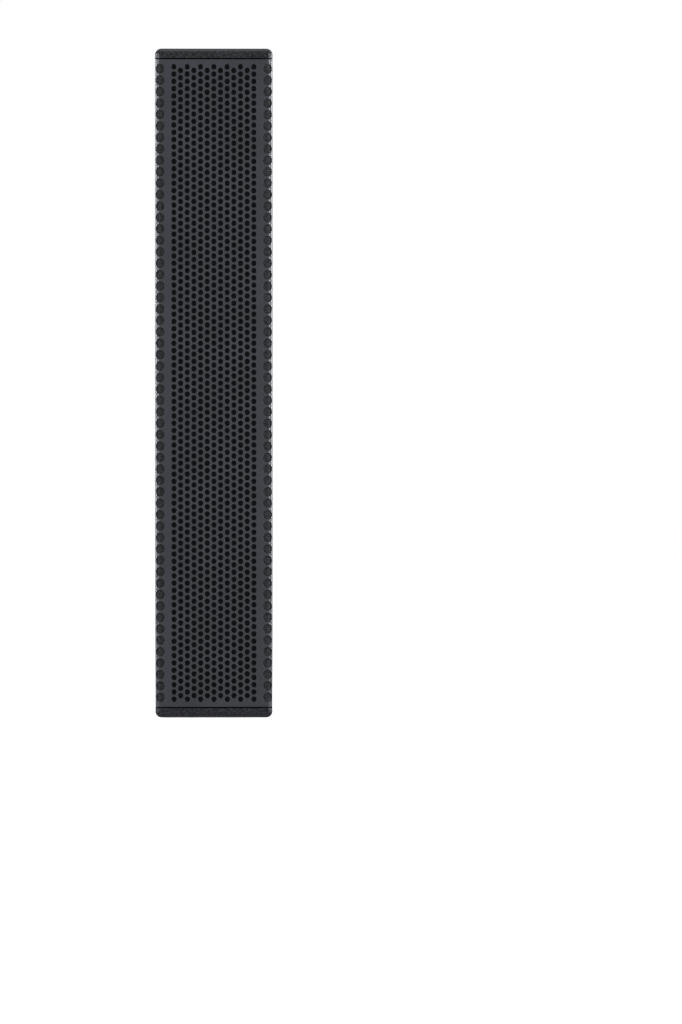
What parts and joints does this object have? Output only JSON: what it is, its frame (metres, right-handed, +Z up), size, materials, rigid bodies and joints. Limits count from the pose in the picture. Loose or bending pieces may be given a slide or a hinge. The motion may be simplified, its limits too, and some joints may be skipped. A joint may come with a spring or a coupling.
{
  "type": "line array speaker",
  "caption": "Slim upright column speaker: a row of small drivers behind a perforated steel grille, with a twist-lock input socket on the back.",
  "frame": {"origin": "centre of the base of the bounding box, on the surface the speaker stands on", "axes": "+Z up along the column, -Y out of the grille towards the listener, +X to the right of a listener facing the grille"},
  "size_m": [0.11, 0.13, 0.626],
  "materials": {
    "cabinet_paint": "satin",
    "baffle_paint": "matte",
    "bare_plywood": "matte",
    "grille_paint": "satin",
    "acoustic_foam": "matte",
    "black_screw": "satin",
    "zinc_steel": "satin",
    "plate_paint": "satin",
    "socket_plastic": "satin",
    "contact_metal": "satin",
    "circuit_board": "satin",
    "component_case": "satin",
    "wire_sleeve": "satin",
    "damping_fleece": "matte",
    "basket_paint": "satin",
    "ferrite": "matte",
    "cone_paper": "matte",
    "cap_paper": "satin",
    "coil_copper": "satin",
    "surround_rubber": "satin",
    "spider_cloth": "matte"
  },
  "bodies": {
    "cabinet": {"top_panel": "cabinet_paint", "bottom_panel": "cabinet_paint", "side_panel_left": "cabinet_paint", "side_panel_right": "cabinet_paint", "rear_panel": "cabinet_paint", "front_baffle": "baffle_paint", "braces": "bare_plywood", "threaded_inserts": "zinc_steel", "grille": "grille_paint", "grille_foam": "acoustic_foam", "grille_screws": "black_screw", "driver_screws": "black_screw", "terminal_plate": "plate_paint", "plate_screws": "black_screw", "connector_housing": "socket_plastic", "connector_contacts": "contact_metal", "connector_screws": "black_screw", "crossover_board": "circuit_board", "crossover_components": "component_case", "internal_wiring": "wire_sleeve", "damping_wool": "damping_fleece", "driver_top_plates": "zinc_steel", "driver_magnets": "ferrite", "driver_yokes": "zinc_steel", "driver_1_basket": "basket_paint", "driver_1_surround": "surround_rubber", "driver_1_spider": "spider_cloth", "driver_2_basket": "basket_paint", "driver_2_surround": "surround_rubber", "driver_2_spider": "spider_cloth", "driver_3_basket": "basket_paint", "driver_3_surround": "surround_rubber", "driver_3_spider": "spider_cloth", "driver_4_basket": "basket_paint", "driver_4_surround": "surround_rubber", "driver_4_spider": "spider_cloth", "driver_5_basket": "basket_paint", "driver_5_surround": "surround_rubber", "driver_5_spider": "spider_cloth", "driver_6_basket": "basket_paint", "driver_6_surround": "surround_rubber", "driver_6_spider": "spider_cloth"},
    "diaphragm_1": {"driver_1_cone": "cone_paper", "driver_1_dust_cap": "cap_paper", "driver_1_voice_coil": "coil_copper"},
    "diaphragm_2": {"driver_2_cone": "cone_paper", "driver_2_dust_cap": "cap_paper", "driver_2_voice_coil": "coil_copper"},
    "diaphragm_3": {"driver_3_cone": "cone_paper", "driver_3_dust_cap": "cap_paper", "driver_3_voice_coil": "coil_copper"},
    "diaphragm_4": {"driver_4_cone": "cone_paper", "driver_4_dust_cap": "cap_paper", "driver_4_voice_coil": "coil_copper"},
    "diaphragm_5": {"driver_5_cone": "cone_paper", "driver_5_dust_cap": "cap_paper", "driver_5_voice_coil": "coil_copper"},
    "diaphragm_6": {"driver_6_cone": "cone_paper", "driver_6_dust_cap": "cap_paper", "driver_6_voice_coil": "coil_copper"}
  },
  "joints": [
    {"name": "driver_1_travel", "type": "slide", "parent": "cabinet", "child": "diaphragm_1", "axis": [0, -1, 0], "range_m": [-0.0025, 0.0025], "stiffness_N_per_m": 1000, "deforming": ["driver_1_surround", "driver_1_spider"]},
    {"name": "driver_2_travel", "type": "slide", "parent": "cabinet", "child": "diaphragm_2", "axis": [0, -1, 0], "range_m": [-0.0025, 0.0025], "stiffness_N_per_m": 1000, "deforming": ["driver_2_surround", "driver_2_spider"]},
    {"name": "driver_3_travel", "type": "slide", "parent": "cabinet", "child": "diaphragm_3", "axis": [0, -1, 0], "range_m": [-0.0025, 0.0025], "stiffness_N_per_m": 1000, "deforming": ["driver_3_surround", "driver_3_spider"]},
    {"name": "driver_4_travel", "type": "slide", "parent": "cabinet", "child": "diaphragm_4", "axis": [0, -1, 0], "range_m": [-0.0025, 0.0025], "stiffness_N_per_m": 1000, "deforming": ["driver_4_surround", "driver_4_spider"]},
    {"name": "driver_5_travel", "type": "slide", "parent": "cabinet", "child": "diaphragm_5", "axis": [0, -1, 0], "range_m": [-0.0025, 0.0025], "stiffness_N_per_m": 1000, "deforming": ["driver_5_surround", "driver_5_spider"]},
    {"name": "driver_6_travel", "type": "slide", "parent": "cabinet", "child": "diaphragm_6", "axis": [0, -1, 0], "range_m": [-0.0025, 0.0025], "stiffness_N_per_m": 1000, "deforming": ["driver_6_surround", "driver_6_spider"]}
  ]
}
